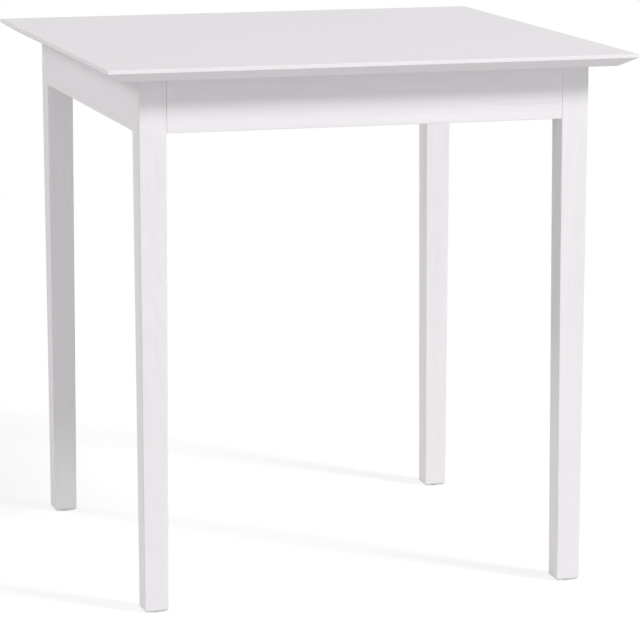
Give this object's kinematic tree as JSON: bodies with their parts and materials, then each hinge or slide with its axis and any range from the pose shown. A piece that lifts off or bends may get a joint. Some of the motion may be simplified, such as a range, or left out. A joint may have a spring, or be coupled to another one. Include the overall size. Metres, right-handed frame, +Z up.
{
  "type": "square dining table",
  "caption": "Square dining table with a thin under-bevelled top, flush aprons and square tapered legs, bolted together through corner brackets.",
  "frame": {"origin": "on the floor, under the middle of the top", "axes": "+X to the right along the front, +Y from the front to the back, +Z up"},
  "size_m": [0.75, 0.75, 0.76],
  "materials": {
    "white_lacquer": "white satin lacquer over fine-grained wood",
    "zinc_steel": "bright zinc-plated steel",
    "glide_plastic": "matt moulded plastic"
  },
  "bodies": {
    "root": {"tabletop": "white_lacquer", "leg_front_left": "white_lacquer", "glide_front_left": "glide_plastic", "corner_bracket_front_left": "zinc_steel", "hanger_bolt_front_left": "zinc_steel", "washer_front_left": "zinc_steel", "nut_front_left": "zinc_steel", "bracket_screws_front_left": "zinc_steel", "leg_front_right": "white_lacquer", "glide_front_right": "glide_plastic", "corner_bracket_front_right": "zinc_steel", "hanger_bolt_front_right": "zinc_steel", "washer_front_right": "zinc_steel", "nut_front_right": "zinc_steel", "bracket_screws_front_right": "zinc_steel", "leg_back_right": "white_lacquer", "glide_back_right": "glide_plastic", "corner_bracket_back_right": "zinc_steel", "hanger_bolt_back_right": "zinc_steel", "washer_back_right": "zinc_steel", "nut_back_right": "zinc_steel", "bracket_screws_back_right": "zinc_steel", "leg_back_left": "white_lacquer", "glide_back_left": "glide_plastic", "corner_bracket_back_left": "zinc_steel", "hanger_bolt_back_left": "zinc_steel", "washer_back_left": "zinc_steel", "nut_back_left": "zinc_steel", "bracket_screws_back_left": "zinc_steel", "apron_front": "white_lacquer", "clip_screws_front": "zinc_steel", "top_clip_1_front": "zinc_steel", "top_clip_2_front": "zinc_steel", "apron_right": "white_lacquer", "clip_screws_right": "zinc_steel", "top_clip_1_right": "zinc_steel", "top_clip_2_right": "zinc_steel", "apron_back": "white_lacquer", "clip_screws_back": "zinc_steel", "top_clip_1_back": "zinc_steel", "top_clip_2_back": "zinc_steel", "apron_left": "white_lacquer", "clip_screws_left": "zinc_steel", "top_clip_1_left": "zinc_steel", "top_clip_2_left": "zinc_steel"}
  },
  "joints": []
}
